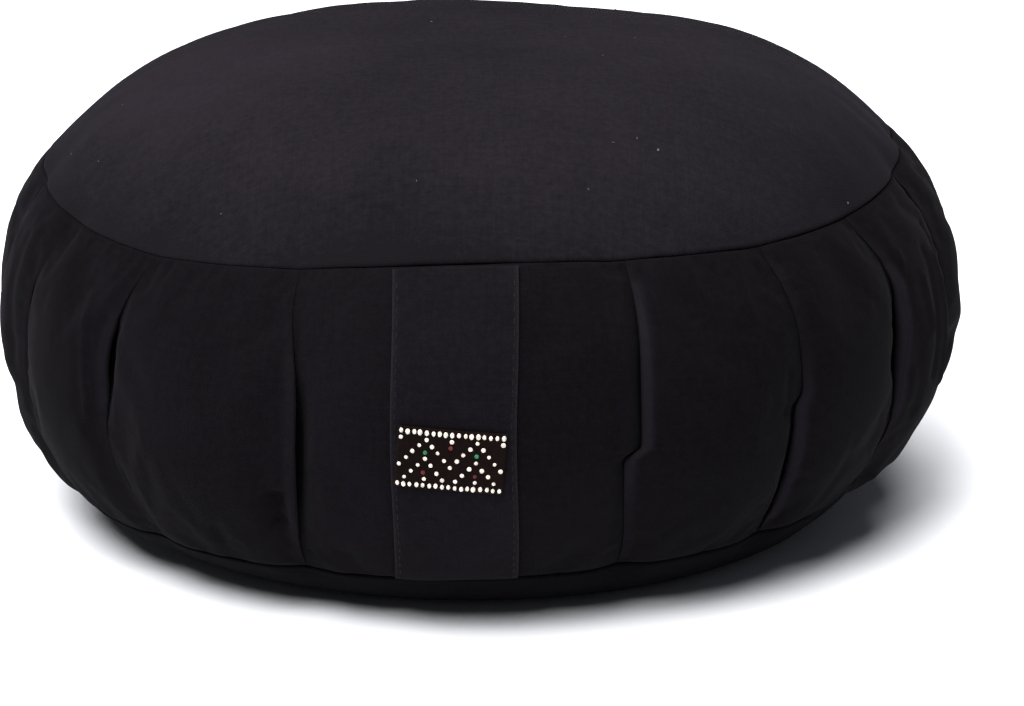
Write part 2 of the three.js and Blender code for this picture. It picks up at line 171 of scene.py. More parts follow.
# Creases: azimuth and wall height of both ends, height out of the cloth and half width; the last
# five are the broad dents and swellings that shape the outline
CREASES = (
    (-23.2, 0.19, -22.8, 0.29, -3.4, 3.0),
    (-21.4, 0.07, -21.3, 0.25, 0.5, 1.5),
    (-44.4, 0.21, -44.5, 0.28, -0.5, 1.4),
    (-49.2, 0.46, -50.6, 0.84, 0.7, 1.8),
    (14.6, 0.45, 15.0, 0.60, -1.3, 3.2),
    (16.1, 0.440, 16.2, 0.58, 1.1, 1.5),
    (20.0, 0.46, 19.9, 0.97, -0.8, 1.3),
    (18.1, 0.10, 17.9, 0.40, -0.3, 1.4),
    (36.2, 0.50, 36.5, 0.63, -0.9, 1.7),
    (38.0, 0.46, 38.1, 0.56, -0.7, 1.5),
    (39.2, 0.12, 38.2, 0.50, -0.4, 1.6),
    (8.5, 0.88, 8.8, 1.00, -0.9, 2.2),
    (56.2, 0.24, 56.6, 0.34, -1.4, 3.0),
    (59.2, 0.74, 60.4, 0.86, 0.7, 1.4),
    (63.8, 0.58, 63.4, 0.76, 1.0, 1.5),
    (65.0, 0.42, 66.2, 0.82, -1.1, 2.0),
    (67.8, 0.38, 68.6, 0.78, 1.1, 1.8),
    (70.0, 0.34, 71.2, 0.86, -1.3, 2.2),
    (61.8, 0.30, 61.2, 0.60, -0.6, 2.4),
    (-33.5, 0.90, -33.0, 1.00, -0.5, 2.2),
    (-47.5, 0.91, -46.5, 1.00, -0.7, 1.8),
    (-40.5, 0.93, -40.0, 1.00, -0.5, 1.6),
    (-52.5, 0.88, -51.5, 0.99, 0.4, 2.0),
    (-71.0, 0.45, -70.5, 0.88, -0.9, 3.0),
    (28.0, 0.90, 27.5, 1.00, -0.5, 2.4),
    (22.0, 0.91, 22.8, 1.00, 0.5, 1.8),
    (25.2, 0.84, 24.6, 0.96, -0.7, 2.6),
    (-9.5, 0.62, -14.0, 0.66, 0.4, 3.0),
    (-31.0, 0.78, -25.0, 0.82, 0.4, 2.6),
    (46.5, 0.10, 47.5, 0.34, -0.6, 3.2),
    (-32.0, 0.02, -31.0, 0.16, -0.6, 3.0),
    (-76.5, 0.36, -79.0, 0.43, -4.4, 9.0),
    (-66.0, 0.07, -70.0, 0.13, 1.3, 14.0),
    (85.5, 0.62, 88.0, 0.72, -4.6, 11.0),
    (73.0, 0.20, 79.0, 0.38, -5.0, 8.5),
    (60.0, 0.06, 66.0, 0.10, 2.2, 12.0),
)

# Painted light and painted shade on the wall, where light falls on it more or less: azimuth, how
# much paler or, below 0, darker, and half width
PAINTED_LIGHT_AND_SHADE = ((-13.5, 0.24, 8.0), (36.0, -0.14, 24.0), (-56.0, -0.06, 12.0))

# Hollow in the crown: azimuth, share of the way out, depth and half width
CROWN_DENT = (151.0, 0.66, 2.6, 38.0)

# Specks on the crown: azimuth, share of the way out and length; the first is wide as well. More
# are strewn at random over the crown and the wall.
CROWN_SPECKS = ((30, 0.794, 1.1), (16, 0.876, 0.8), (58, 0.985, 0.9), (-77, 0.94, 0.9))
FIRST_SPECK_WIDTH = 0.8
STREWN_ON_CROWN = 14
STREWN_ON_WALL = 12

# Unevenness of the filling: size and height of its lumps, the broad ones first
WALL_LUMPS = ((34.0, 0.5), (15.0, 0.22))
CROWN_LUMPS = ((60.0, 0.7), (22.0, 0.25))

# Settling of the cover by simulation: its grid, its steps, how far it starts inside the cloth, how
# loose it is, the most that a point may move, and how much of that the wall takes
SETTLE_COLUMNS = 320
SETTLE_ROWS = 40
SETTLE_RINGS = 18
SETTLE_FRAMES = 20
SETTLE_INSET = 1.2
SETTLE_LOOSE = 0.035
SETTLE_PRESSURE = 4
SETTLE_CAP = 3.0
SETTLE_SHARE = 0.6

# Cloth's look: distance between threads, relief of the weave and of its slubs, sheen, and how much
# paler or darker the cloth is made by wear and by painted light and shade
THREAD_PITCH = 0.42
PATCH_PITCH = 0.4
WEAVE_RELIEF = 0.25
SLUB_RELIEF = 0.5
CLOTH_SHEEN = 0.012
WEAR_AND_PAINTED_LIGHT_TONE = 0.5

# Colours: each cloth at its darkest and palest, then thread, lint, dots, floor and sky. Wall and
# panels are one cotton: the wall's colours are darker as painted shade, the panel's paler as
# painted light.
WALL_COLORS_PAINTED_SHADE = (0.00075, 0.0006, 0.00085), (0.0070, 0.0058, 0.0076)
PANEL_COLORS_PAINTED_LIGHT = (0.0048, 0.0040, 0.0052), (0.0200, 0.0167, 0.0218)
STRAP_COLORS = (0.0016, 0.00135, 0.0018), (0.0108, 0.0092, 0.0117)
PATCH_COLORS = (0.0022, 0.0012, 0.0011), (0.0120, 0.0064, 0.0056)
SHEEN_COLOR = (0.62, 0.58, 0.68)
THREAD_COLOR = (0.0024, 0.0021, 0.0026)
LINT_COLOR = (0.11, 0.10, 0.11)
DOT_COLORS = {"i": (0.66, 0.60, 0.51), "g": (0.015, 0.16, 0.065), "r": (0.09, 0.014, 0.013)}
FLOOR_COLOR = (0.86, 0.87, 0.9)
SKY_COLOR = (0.86, 0.88, 1.0)

# Light: a broad high key, a softer fill from the front left, and an even sky
KEY_POWER = 5.8
KEY_SPREAD = 66.0
KEY_FROM = (-0.18, -0.03, 1.0)
FILL_POWER = 58
FILL_SIZE = 1.2
FILL_AT = (-0.5, -1.4, 1.9)
FILL_TARGET = (0, 0, 0.08)
SKY_POWER = 0.09

# Camera: metres and degrees; the focal length is for a 36 mm wide sensor
CAMERA_PITCH = 17.0
CAMERA_DISTANCE = 1.2
CAMERA_X = 0.0108
CAMERA_AIM_HEIGHT = 0.047
LENS = 121.0

# Fineness of the meshes: rows of the wall between its ends, a column that crosses plain cloth,
# distances between columns at the front and the back, and the panels' columns and rings
WALL_ROWS = 84
WALL_ENDS = (0.008, 0.992)
PLAIN_COLUMN = 40
NEAR_PITCH = 1.15
FAR_PITCH = 2.2
NEAR_TURN = 100.0
PANEL_COLUMNS = 384
PANEL_RINGS = 44

SEED = 11
LATTICE = np.random.default_rng(SEED).uniform(-1, 1, (32, 32, 32))


def lumps(points, size):
    """Smooth seeded noise from -1 to 1, with lumps about size across."""
    p = np.asarray(points, float) / size
    low = np.floor(p).astype(int)
    t = p - low
    t = t * t * (3 - 2 * t)
    total = 0
    for corner in np.ndindex(2, 2, 2):
        step = np.array(corner)
        weight = np.prod(np.where(step == 1, t, 1 - t), axis=-1)
        x, y, z = np.moveaxis((low + step) % 32, -1, 0)
        total = total + weight * LATTICE[x, y, z]
    return total


def place(r, z, azimuth):
    """Point at a radius, a height and an azimuth."""
    a = np.radians(azimuth)
    return np.stack([r * np.sin(a), -r * np.cos(a), z + 0 * a], -1)


def unit(vectors):
    return vectors / np.linalg.norm(vectors, axis=-1, keepdims=True)


def smooth_section(azimuth):
    """Rows of the section table, smoothed round the cushion."""
    at = (np.asarray(azimuth, float) % 360) * len(SECTIONS) / 360
    i = np.floor(at).astype(int)
    t = (at - i)[..., None]
    a, b, c, d = (SECTIONS[(i + k) % len(SECTIONS)] for k in (-1, 0, 1, 2))
    bend = (2 * a - 5 * b + 4 * c - d) * t**2 + (3 * b - a - 3 * c + d) * t**3
    return 0.5 * (2 * b + (c - a) * t + bend)


def pucker(azimuth, key):
    """How far a seam is drawn in by the pleats sewn into it."""
    turns = (np.asarray(azimuth)[..., None] - [p[key] for p in PLEATS] + 540) % 360 - 180
    return PUCKER * np.exp(-((turns / PUCKER_SPREAD) ** 2)).sum(-1)


def section(azimuth, away=0.0):
    """Section with its seams drawn in at the pleats; away is the distance from the seam."""
    s = smooth_section(azimuth).copy()
    fade = np.exp(-away / PUCKER_REACH)
    top, foot = pucker(azimuth, "top") * fade, pucker(azimuth, "foot") * fade
    s[..., 0] -= top
    s[..., 1] -= PUCKER_DROP * top
    s[..., 4] -= foot
    s[..., 5] += PUCKER_DROP * foot
    return s


def side_point(azimuth, height, out):
    """Smooth side at a wall height from 0, the bottom seam, to 1, the top seam."""
    s = section(azimuth)
    seam_r, seam_z, belly_r, belly_z, foot_r, foot_z = np.moveaxis(s[..., :6], -1, 0)
    z = foot_z + (seam_z - foot_z) * height
    above = z > belly_z
    run = np.where(above, seam_z, foot_z) - belly_z
    drop = belly_r - np.where(above, seam_r, foot_r)
    power = np.where(above, SHOULDER_POWER, TUCK_POWER)
    t = np.clip((z - belly_z) / run, 0, 1)
    slope = -drop * power * t ** (power - 1) / run
    length = np.hypot(1, slope)
    return place(belly_r - drop * t**power + out / length, z - slope / length * out, azimuth)


def fold_azimuth(pleat, height):
    """Azimuth of a folded edge, eased between its stops, with its jog."""
    height = np.asarray(height, float)
    stops = [pleat[k] for k in ("foot", "low", "high", "top")]
    near = [np.interp(height + d * FOLD_EASE, FOLD_HEIGHTS, stops) for d in (-1, -0.5, 0, 0.5, 1)]
    azimuth = sum(near) / len(near)
    for index, above, run, shift in JOGS:
        if PLEATS[index] is pleat:
            azimuth = azimuth + shift * 0.5 * (1 + np.tanh((height - above) / run))
    return azimuth


def sewn_share(height):
    """How free a fold is of the seams that hold it: 0 at a seam, 1 away from both."""
    return np.minimum(1, height * (1 - height) / 0.06)


def cleft_depth(pleat, height):
    """Drop from the upper layer to the lower one at a folded edge."""
    gape = np.exp(-(((height - pleat["deep"]) / pleat["spread"]) ** 2))
    flat = pleat["step"] * (0.35 + 0.65 * sewn_share(height))
    return flat + (pleat["open"] - pleat["step"]) * gape * sewn_share(height)


def fold_rounding(pleat, height):
    """How far the upper layer rounds down to its folded edge, and the radius of that edge."""
    depth = cleft_depth(pleat, height)
    roll = pleat["roll"]
    return np.minimum(FOLD_ROUND * roll, 0.4 * depth), np.minimum(roll, 0.27 * depth)


def fold_wear_highlight_shade(pleat, height):
    """How much paler a folded edge is, from wear and painted highlight, and how much darker the
    cloth it covers is, as painted shade.
    """
    depth = cleft_depth(pleat, height)[:, None]
    edge_tone = np.clip((depth / 2.5) ** 1.5, 0.1, 1) * (pleat["roll"] - 0.6)
    return edge_tone, -0.5 * np.clip(depth / 5, 0, 1)


def edge_relief(pleat, side, distance, height):
    """Height of the cloth beside a folded edge, on its upper or its lower layer."""
    if pleat["lap"] == side:
        return -fold_rounding(pleat, height)[0] * np.exp(-distance / FOLD_ROUND_RUN)
    climb = np.exp(-((distance / pleat["run"]) ** 1.3))
    return -cleft_depth(pleat, height) * climb


def wall_stretch(index, height):
    """Azimuths of the two pleats that bound a stretch of wall."""
    start = fold_azimuth(PLEATS[index], height)
    end = fold_azimuth(PLEATS[(index + 1) % len(PLEATS)], height)
    return start, np.where(end > start, end, end + 360)


def relief(index, before, after, height):
    """Height of the cloth of a stretch at its distances from the pleats on both sides."""
    share = before / (before + after)
    puff = PUFF * 4 * share * (1 - share) * np.sin(np.pi * height)
    return (puff + edge_relief(PLEATS[index], 1, before, height)
            + edge_relief(PLEATS[(index + 1) % len(PLEATS)], -1, after, height))


def seam_draw(azimuth, height):
    """How far the wall is drawn in where it runs into its seams."""
    s = section(azimuth)
    span = s[..., 1] - s[..., 5]
    return SEAM_DRAW * (np.exp(-height * span / SEAM_DRAW_RUN)
                        + s[..., 6] * np.exp(-(1 - height) * span / SEAM_DRAW_RUN))


def seam_gap(azimuth):
    """Clear space at the top seam, and the depth of the valley there."""
    ragged = 0.8 + 0.5 * lumps(place(SEAM_RADIUS, WALL_RISE, azimuth), SEAM_RAGGED)
    gape = np.clip(smooth_section(azimuth)[..., 6] * ragged, 0.05, 1)
    return 0.12 + 0.3 * gape, 0.3 + 0.5 * gape


def crease_relief(azimuth, height):
    """Short folds and dimples pressed into the wall."""
    total = 0
    for a0, h0, a1, h1, out, width in CREASES:
        along = np.clip((height - h0) / (h1 - h0), 0, 1)
        aside = np.radians(azimuth - a0 - (a1 - a0) * along) * WALL_RADIUS
        beyond = (height - h0 - (h1 - h0) * along) * WALL_RISE
        total = total + out * np.exp(-((aside**2 + beyond**2) / width**2))
    return total


def front_point(x, height, out):
    """Point over the front of the wall at a sideways place."""
    x, height, out = np.broadcast_arrays(np.asarray(x, float), height, out)
    start, end = wall_stretch(FRONT, height)
    azimuth = np.zeros_like(x)
    for _ in range(4):
        radius = smooth_section(azimuth)[..., 2]
        before = np.radians(azimuth - start) * radius
        after = np.radians(end - azimuth) * radius
        point = side_point(azimuth, height, relief(FRONT, before, after, height) + out)
        azimuth = np.degrees(np.arcsin(x / np.hypot(point[..., 0], point[..., 1])))
    return point


def fold_block(pleat, height):
    """Cross section of a pleat at each height, from the lower layer round to the upper one.

    Gives sideways places and outward heights, one column for each point, and how pale the cloth is
    there: paler on the rolled edge, from wear and painted highlight.
    """
    h = height[:, None]
    depth = cleft_depth(pleat, h)
    lowered, roll = fold_rounding(pleat, h)
    tuck = np.minimum(FOLD_TUCK, 0.1 + 3.0 * depth)
    crest = -lowered * np.exp(-roll / FOLD_ROUND_RUN)
    hidden = np.linspace(0.12, 1, FOLD_LAYER_POINTS)
    lower = tuck * hidden, -depth * (1 + 0.12 * hidden)
    turn = tuck + 0.3 * roll, -1.06 * depth
    back = np.linspace(1, 0, FOLD_LAYER_POINTS)[:-1]
    returned = (roll + (tuck - roll) * back,
                (crest - 2 * roll) * (1 - back**1.6) - 0.95 * depth * back**1.6)
    swing = np.radians(np.linspace(-90, -270, FOLD_ARC_POINTS))
    rolled = roll + roll * np.cos(swing), crest - roll + roll * np.sin(swing)
    places = np.hstack([lower[0], turn[0], returned[0], rolled[0]])
    outs = np.hstack([lower[1], turn[1], returned[1], rolled[1]])
    wear_and_painted_light = np.zeros(places.shape[1])
    wear_and_painted_light[-FOLD_ARC_POINTS:] = np.sin(np.linspace(0, np.pi / 2, FOLD_ARC_POINTS)) ** 2
    return places, outs, wear_and_painted_light


def wall_columns():
    """Azimuths, outward heights, even azimuths, and wear with painted highlight and painted shade
    of the wall's points, rows by columns.
    """
    k = np.linspace(0, 1, WALL_ROWS)
    height = 0.5 * k + 0.5 * (0.5 - 0.5 * np.cos(np.pi * k))
    height = WALL_ENDS[0] + (WALL_ENDS[1] - WALL_ENDS[0]) * height
    middle_row = WALL_ROWS // 2
    azimuths, outs, evens, wear_and_painted_light_values = [], [], [], []
    for index, pleat in enumerate(PLEATS):
        following = PLEATS[(index + 1) % len(PLEATS)]
        start, end = wall_stretch(index, height)
        radius = smooth_section((start + end) / 2)[:, 2]
        places, raised, wear_and_painted_light = fold_block(pleat, height)
        if pleat["lap"] < 0:
            places, raised, wear_and_painted_light = -places[:, ::-1], raised[:, ::-1], wear_and_painted_light[::-1]
        azimuths.append(start[:, None] + np.degrees(places / radius[:, None]))
        outs.append(raised)
        evens.append(start[:, None] + np.linspace(-0.4, 0.4, places.shape[1]))
        # The rolled edge is paler, partly from wear and partly as painted highlight; the cloth
        # under the fold gets painted shade
        rolled_wear_and_highlight, hidden = fold_wear_highlight_shade(pleat, height)
        wear_and_painted_light_values.append(np.where(wear_and_painted_light > 0, wear_and_painted_light * rolled_wear_and_highlight, hidden))

        width = np.radians(end - start) * radius
        near = abs((start + end)[middle_row] / 2) < NEAR_TURN
        count = int(width[middle_row] / (NEAR_PITCH if near else FAR_PITCH))
        even_share = np.linspace(0, 1, count)
        share = 0.6 * even_share + 0.4 * (0.5 - 0.5 * np.cos(np.pi * even_share))
        first = fold_rounding(pleat, height)[1] if pleat["lap"] > 0 else 0 * width
        last = width - (fold_rounding(following, height)[1] if following["lap"] < 0 else 0)
        inner = share * 0.99 + 0.005
        before = first[:, None] + (last - first)[:, None] * inner
        azimuths.append(start[:, None] + np.degrees(before / radius[:, None]))
        outs.append(relief(index, before, width[:, None] - before, height[:, None]))
        evens.append(start[:, None] + 0.5 + (np.degrees(width / radius) - 1.0)[:, None] * inner)
        after = width[:, None] - before
        beyond, under = fold_wear_highlight_shade(following, height)
        # Beside each fold the rolled edge is paler, from wear and painted highlight, and the layer
        # under it darker, as painted shade
        start_tone = rolled_wear_and_highlight if pleat["lap"] > 0 else hidden
        end_tone = beyond if following["lap"] < 0 else under
        edge_tone = start_tone * np.exp(-((before / FOLD_TONE_RUN) ** 4))
        wear_and_painted_light_values.append(edge_tone + end_tone * np.exp(-((after / FOLD_TONE_RUN) ** 4)))
    return height, *(np.hstack(part) for part in (azimuths, outs, evens, wear_and_painted_light_values))


def crown_point(azimuth, q, inset, past=0.0):
    """Crown: q from 0, the middle, to 1, the top seam; past slides along the surface."""
    azimuth, q = np.broadcast_arrays(azimuth, q)
    s = section(azimuth, (1 - q) * smooth_section(azimuth)[..., 0])
    rise = CROWN_HEIGHT - s[..., 1]
    slope = CROWN_FLATNESS * rise * q ** (CROWN_FLATNESS - 1) / s[..., 0]
    length = np.hypot(slope, 1)
    r = s[..., 0] * q + (past - slope * inset) / length
    z = s[..., 1] + rise * (1 - q**CROWN_FLATNESS) - (past * slope + inset) / length
    return place(r, z, azimuth)


def base_point(azimuth, q, inset, past=0.0):
    """Base: q from 0, the middle, to 1, the edge of the flat, to 2, the bottom seam."""
    azimuth, q = np.broadcast_arrays(azimuth, q)
    s = section(azimuth, (2 - q) * (smooth_section(azimuth)[..., 4] - REST_RADIUS))
    curved = np.maximum(0, q - 1)
    run = s[..., 4] - REST_RADIUS
    slope = s[..., 5] * FOOT_POWER * curved ** (FOOT_POWER - 1) / run
    length = np.hypot(slope, 1)
    r = REST_RADIUS * np.minimum(1, q) + run * curved + (past - slope * inset) / length
    z = s[..., 5] * curved**FOOT_POWER + (past * slope + inset) / length
    return place(r, z, azimuth)


def wall_drape(azimuth, height):
    """Unevenness of the wall's cloth: settling, short creases and soft lumps of the filling."""
    around = place(WALL_RADIUS, WALL_RISE * height, azimuth)
    (broad, swell), (small, rise) = WALL_LUMPS
    soft = swell * lumps(around, broad) + rise * lumps(around + 50, small)
    loose = 4 * height * (1 - height)
    return crease_relief(azimuth, height) + soft * loose + settled_wall(azimuth, height)


def crown_extra(azimuth, q):
    """Unevenness of the crown's cloth: soft lumps, settling and the hollow."""
    around = place(150.0 * q, 40.0 + 0 * q, azimuth)
    (broad, swell), (small, rise) = CROWN_LUMPS
    uneven = swell * lumps(around, broad) + rise * lumps(around + 90, small)
    return uneven * (1 - q**8) + settled_crown(azimuth, q) - crown_dent(azimuth, q)


def crown_dent(azimuth, q):
    """Depth of the soft hollow where the filling has slipped away under the crown."""
    dent_azimuth, dent_q, deep, width = CROWN_DENT
    across = place(SEAM_RADIUS * q, 0, azimuth)
    dent = place(SEAM_RADIUS * dent_q, 0, dent_azimuth)
    away = np.linalg.norm(across - dent, axis=-1)
    return deep * np.exp(-((away / width) ** 2)) * np.clip(8 * (1 - q), 0, 1)


def smooth_extra(azimuth, q):
    """No unevenness, for the base, which lies flat."""
    return 0.0


def mesh_object(name, points, faces, uvs=None, wear_and_painted_light=None):
    """Smooth object from points in millimetres; uvs and the tone of wear and painted light and
    shade are given for each point.
    """
    mesh = bpy.data.meshes.new(name)
    mesh.from_pydata((np.asarray(points) * MM).tolist(), [], faces)
    mesh.validate()
    if uvs is not None:
        layer = mesh.uv_layers.new(name="Cloth")
        corners = np.zeros(len(mesh.loops), np.int32)
        mesh.loops.foreach_get("vertex_index", corners)
        layer.data.foreach_set("uv", (np.asarray(uvs) * MM)[corners].astype(np.float32).ravel())
    if wear_and_painted_light is not None:
        attribute = mesh.attributes.new("wear_and_painted_light", "FLOAT", "POINT")
        attribute.data.foreach_set("value", np.asarray(wear_and_painted_light, np.float32))
    mesh.polygons.foreach_set("use_smooth", np.full(len(mesh.polygons), True))
    mesh.update()
    obj = bpy.data.objects.new(name, mesh)
    bpy.context.scene.collection.objects.link(obj)
    return obj


def ring_faces(rings, count):
    """Quads between rings of equal count, closed round."""
    j = np.arange(count)
    k = (j + 1) % count
    faces = []
    for i in range(rings - 1):
        a, b = i * count, (i + 1) * count
        faces += np.stack([a + j, a + k, b + k, b + j], 1).tolist()
    return faces


def fan_faces(centre, start, count, outward):
    """Triangles from a centre to a ring."""
    j = np.arange(count)
    k = (j + 1) % count
    ends = (k, j) if outward else (j, k)
    return [(int(centre), int(start + a), int(start + b)) for a, b in zip(*ends)]


def pleated_relief(azimuth, height):
    """Relief of all pleats at any azimuth, with the strength of the nearest one."""
    total, hold = 0, 0
    for pleat in PLEATS:
        turn = (azimuth - fold_azimuth(pleat, height) + 540) % 360 - 180
        away = np.radians(abs(turn)) * BELLY_RADIUS
        for side in (-1, 1):
            total = total + np.where(turn * side > 0, edge_relief(pleat, side, away, height), 0)
        hold = np.maximum(hold, np.exp(-((away / 4.0) ** 2)))
    return total, hold


def settle():
    """How far the filling presses the sewn cover out, on a grid of the wall and of the crown."""
    azimuth = np.arange(SETTLE_COLUMNS) * 360 / SETTLE_COLUMNS - 180
    height = np.linspace(0, 1, SETTLE_ROWS)[:, None]
    q = np.linspace(1, 0, SETTLE_RINGS + 2)[1:-1, None]
    folds, hold = pleated_relief(azimuth, height)
    wall = side_point(azimuth, height, folds - SETTLE_INSET)
    wall_out = unit(side_point(azimuth, height, folds + 5) - wall)
    crown = crown_point(azimuth, q, SETTLE_INSET)
    crown_out = unit(crown_point(azimuth, q, -5) - crown)
    base = base_point(azimuth, np.array([[0.6], [1.2], [1.7]]), SETTLE_INSET)
    rings = np.concatenate([base, wall, crown])
    middles = [[0, 0, 2 * SETTLE_INSET], [0, 0, CROWN_HEIGHT - SETTLE_INSET]]
    cloud = np.vstack([rings.reshape(-1, 3), middles])
    faces = ring_faces(len(rings), SETTLE_COLUMNS)
    faces += fan_faces(len(cloud) - 2, 0, SETTLE_COLUMNS, True)
    faces += fan_faces(len(cloud) - 1, (len(rings) - 1) * SETTLE_COLUMNS, SETTLE_COLUMNS, False)
    carrier = mesh_object("settling_cover", cloud, faces)

    pinned = np.zeros((len(rings), SETTLE_COLUMNS))
    pinned[:4] = 1
    pinned[3:3 + SETTLE_ROWS] = np.maximum(0.85 * hold, pinned[3:3 + SETTLE_ROWS])
    pinned[2 + SETTLE_ROWS] = 1
    group = carrier.vertex_groups.new(name="sewn")
    for index, weight in enumerate(pinned.ravel().tolist()):
        if weight > 0.02:
            group.add([index], weight, "REPLACE")
    cloth = carrier.modifiers.new("Cloth", "CLOTH")
    cloth.settings.quality = 5
    cloth.settings.mass = 0.3
    cloth.settings.tension_stiffness = 14
    cloth.settings.compression_stiffness = 14
    cloth.settings.shear_stiffness = 5
    cloth.settings.bending_stiffness = 0.4
    cloth.settings.shrink_min = -SETTLE_LOOSE
    cloth.settings.use_pressure = True
    cloth.settings.uniform_pressure_force = SETTLE_PRESSURE
    cloth.settings.effector_weights.gravity = 0
    cloth.settings.vertex_group_mass = "sewn"
    cloth.settings.pin_stiffness = 1
    scene = bpy.context.scene
    for step in range(1, SETTLE_FRAMES + 1):
        scene.frame_set(step)
    done = carrier.evaluated_get(bpy.context.evaluated_depsgraph_get())
    flat = np.zeros(len(cloud) * 3, np.float32)
    done.data.vertices.foreach_get("co", flat)
    moved = flat.reshape(-1, 3)[:-2].reshape(rings.shape) / MM - rings
    bpy.data.objects.remove(carrier)
    scene.frame_set(1)
    out_wall = (moved[3:3 + SETTLE_ROWS] * wall_out).sum(-1)
    out_crown = (moved[3 + SETTLE_ROWS:] * crown_out).sum(-1)
    return out_wall, out_crown


def even_out(field):
    """Field without its broad swell, so that only the lie of the cloth is left."""
    reach = 40
    wide = np.concatenate([field[:, -reach:], field, field[:, :reach]], 1)
    kernel = np.hanning(2 * reach + 1)
    kernel /= kernel.sum()
    broad = np.stack([np.convolve(row, kernel, "valid") for row in wide])
    return np.clip(field - broad, -SETTLE_CAP, SETTLE_CAP)


def sample(field, row, column):
    """Bilinear look-up in a field that closes round the cushion."""
    row = np.clip(row, 0, len(field) - 1.001)
    i, j = np.floor(row).astype(int), np.floor(column).astype(int)
    u, v = row - i, column - j
    j0, j1 = j % field.shape[1], (j + 1) % field.shape[1]
    low = field[i, j0] * (1 - v) + field[i, j1] * v
    high = field[i + 1, j0] * (1 - v) + field[i + 1, j1] * v
    return low * (1 - u) + high * u


def settled_wall(azimuth, height):
    """Settled relief at a point of the wall."""
    if SETTLED is None:
        return 0.0
    azimuth, height = np.broadcast_arrays(azimuth, height)
    column = (azimuth + 180) * SETTLE_COLUMNS / 360
    return SETTLE_SHARE * sample(SETTLED[0], height * (SETTLE_ROWS - 1), column)


def settled_crown(azimuth, q):
    """Settled relief at a point of the crown, faint away from its edge."""
    if SETTLED is None:
        return 0.0
    azimuth, q = np.broadcast_arrays(azimuth, q)
    column = (azimuth + 180) * SETTLE_COLUMNS / 360
    fade = np.clip((1 - q) * 12, 0, 1) * (0.08 + 0.3 * q**10)
    return sample(SETTLED[1], (1 - q) * (SETTLE_RINGS + 1) - 1, column) * fade


def cushion_wall():
    """Filled body with its pleated wall."""
    height, azimuth, out, even, wear_and_painted_light = wall_columns()
    h = height[:, None]
    points = side_point(azimuth, h, out - seam_draw(azimuth, h) + wall_drape(azimuth, h))
    rows, count = azimuth.shape
    top = even[-1]
    foot = even[0]
    under = PANEL_THICK + GAP
    below = [base_point(foot, 0.5, under), base_point(foot, 1.8, under),
             base_point(foot, 2.0, under, GAP), base_point(foot, 2.0, SEAM_DIP, GAP)]
    gap, dip = seam_gap(top)
    above = [crown_point(top, 1.0, dip, gap), crown_point(top, 1.0, under, gap),
             crown_point(top, 0.9, under + 1.5 + crown_dent(top, 0.9)),
             crown_point(top, 0.65, under + 2.5 + crown_dent(top, 0.65)),
             crown_point(top, 0.4, under + 3 + crown_dent(top, 0.4))]
    rings = [*below, *points, *above]
    middle_low = base_point(np.zeros(1), 0.0, under)
    middle_high = crown_point(np.zeros(1), 0.0, under + 3)
    cloud = np.vstack([*rings, middle_low, middle_high])
    faces = ring_faces(len(rings), count)
    faces += fan_faces(len(cloud) - 2, 0, count, True)
    faces += fan_faces(len(cloud) - 1, (len(rings) - 1) * count, count, False)
    # Painted light and painted shade: the wall is paler where light falls on it more and darker
    # where less
    for tone_azimuth, amount, width in PAINTED_LIGHT_AND_SHADE:
        wear_and_painted_light = wear_and_painted_light + amount * np.exp(-(((azimuth - tone_azimuth) / width) ** 2))
    belly = points[rows // 2]
    along = np.concatenate([[0], np.cumsum(np.linalg.norm(np.diff(belly, axis=0), axis=1))])
    climb = np.diff(points[:, PLAIN_COLUMN], axis=0)
    up = np.concatenate([[0], np.cumsum(np.linalg.norm(climb, axis=1))])
    ups = np.concatenate([np.full(len(below), 0), up, np.full(len(above), up[-1])])
    uvs = np.stack(np.broadcast_arrays(along[None, :], ups[:, None]), -1).reshape(-1, 2)
    uvs = np.vstack([uvs, [[0, 0], [0, 0]]])
    wear_and_painted_light_values = np.vstack([np.zeros((len(below), count)), wear_and_painted_light, np.zeros((len(above), count))]).ravel()
    return mesh_object("cushion_cover", cloud, faces, uvs, np.append(wear_and_painted_light_values, [0, 0]))


def round_panel(name, surface, full, rings, extra, upward):
    """Closed thin sheet on a round surface; full is q at its seam."""
    azimuth = np.arange(PANEL_COLUMNS) * 360 / PANEL_COLUMNS
    outer = [surface(azimuth, q, -extra(azimuth, q)) for q in rings]
    turned = 0.35 + 0.65 * np.clip(smooth_section(azimuth)[..., 6], 0, 1)
    rim = [surface(azimuth, full, depth * turned - extra(azimuth, full), past)
           for past, depth in RIM_PROFILE]
    rim.append(surface(azimuth, full, PANEL_THICK - extra(azimuth, full), -0.1))
    inner = [surface(azimuth, q, PANEL_THICK - extra(azimuth, q)) for q in rings[::-1]]
    loops = [*outer, *rim, *inner]
    centre_out = surface(np.zeros(1), 0.0, 0.0)
    centre_in = surface(np.zeros(1), 0.0, PANEL_THICK)
    cloud = np.vstack([*loops, centre_out, centre_in])
    faces = ring_faces(len(loops), PANEL_COLUMNS)
    faces += fan_faces(len(cloud) - 2, 0, PANEL_COLUMNS, True)
    faces += fan_faces(len(cloud) - 1, (len(loops) - 1) * PANEL_COLUMNS, PANEL_COLUMNS, False)
    if upward:
        faces = [face[::-1] for face in faces]
    # Painted shade near the seam, over the rim and on the underside
    wear_and_painted_light = np.zeros((len(loops), PANEL_COLUMNS))
    to_seam = (1 - np.array(rings) / full) * SEAM_RADIUS
    wear_and_painted_light[:len(outer)] = SEAM_SHADE * np.exp(-to_seam / SEAM_SHADE_RUN)[:, None]
    wear_and_painted_light[len(outer):] = SEAM_SHADE
    wear_and_painted_light = np.append(wear_and_painted_light.ravel(), [0, 0])
    return mesh_object(name, cloud, faces, cloud[:, :2], wear_and_painted_light)


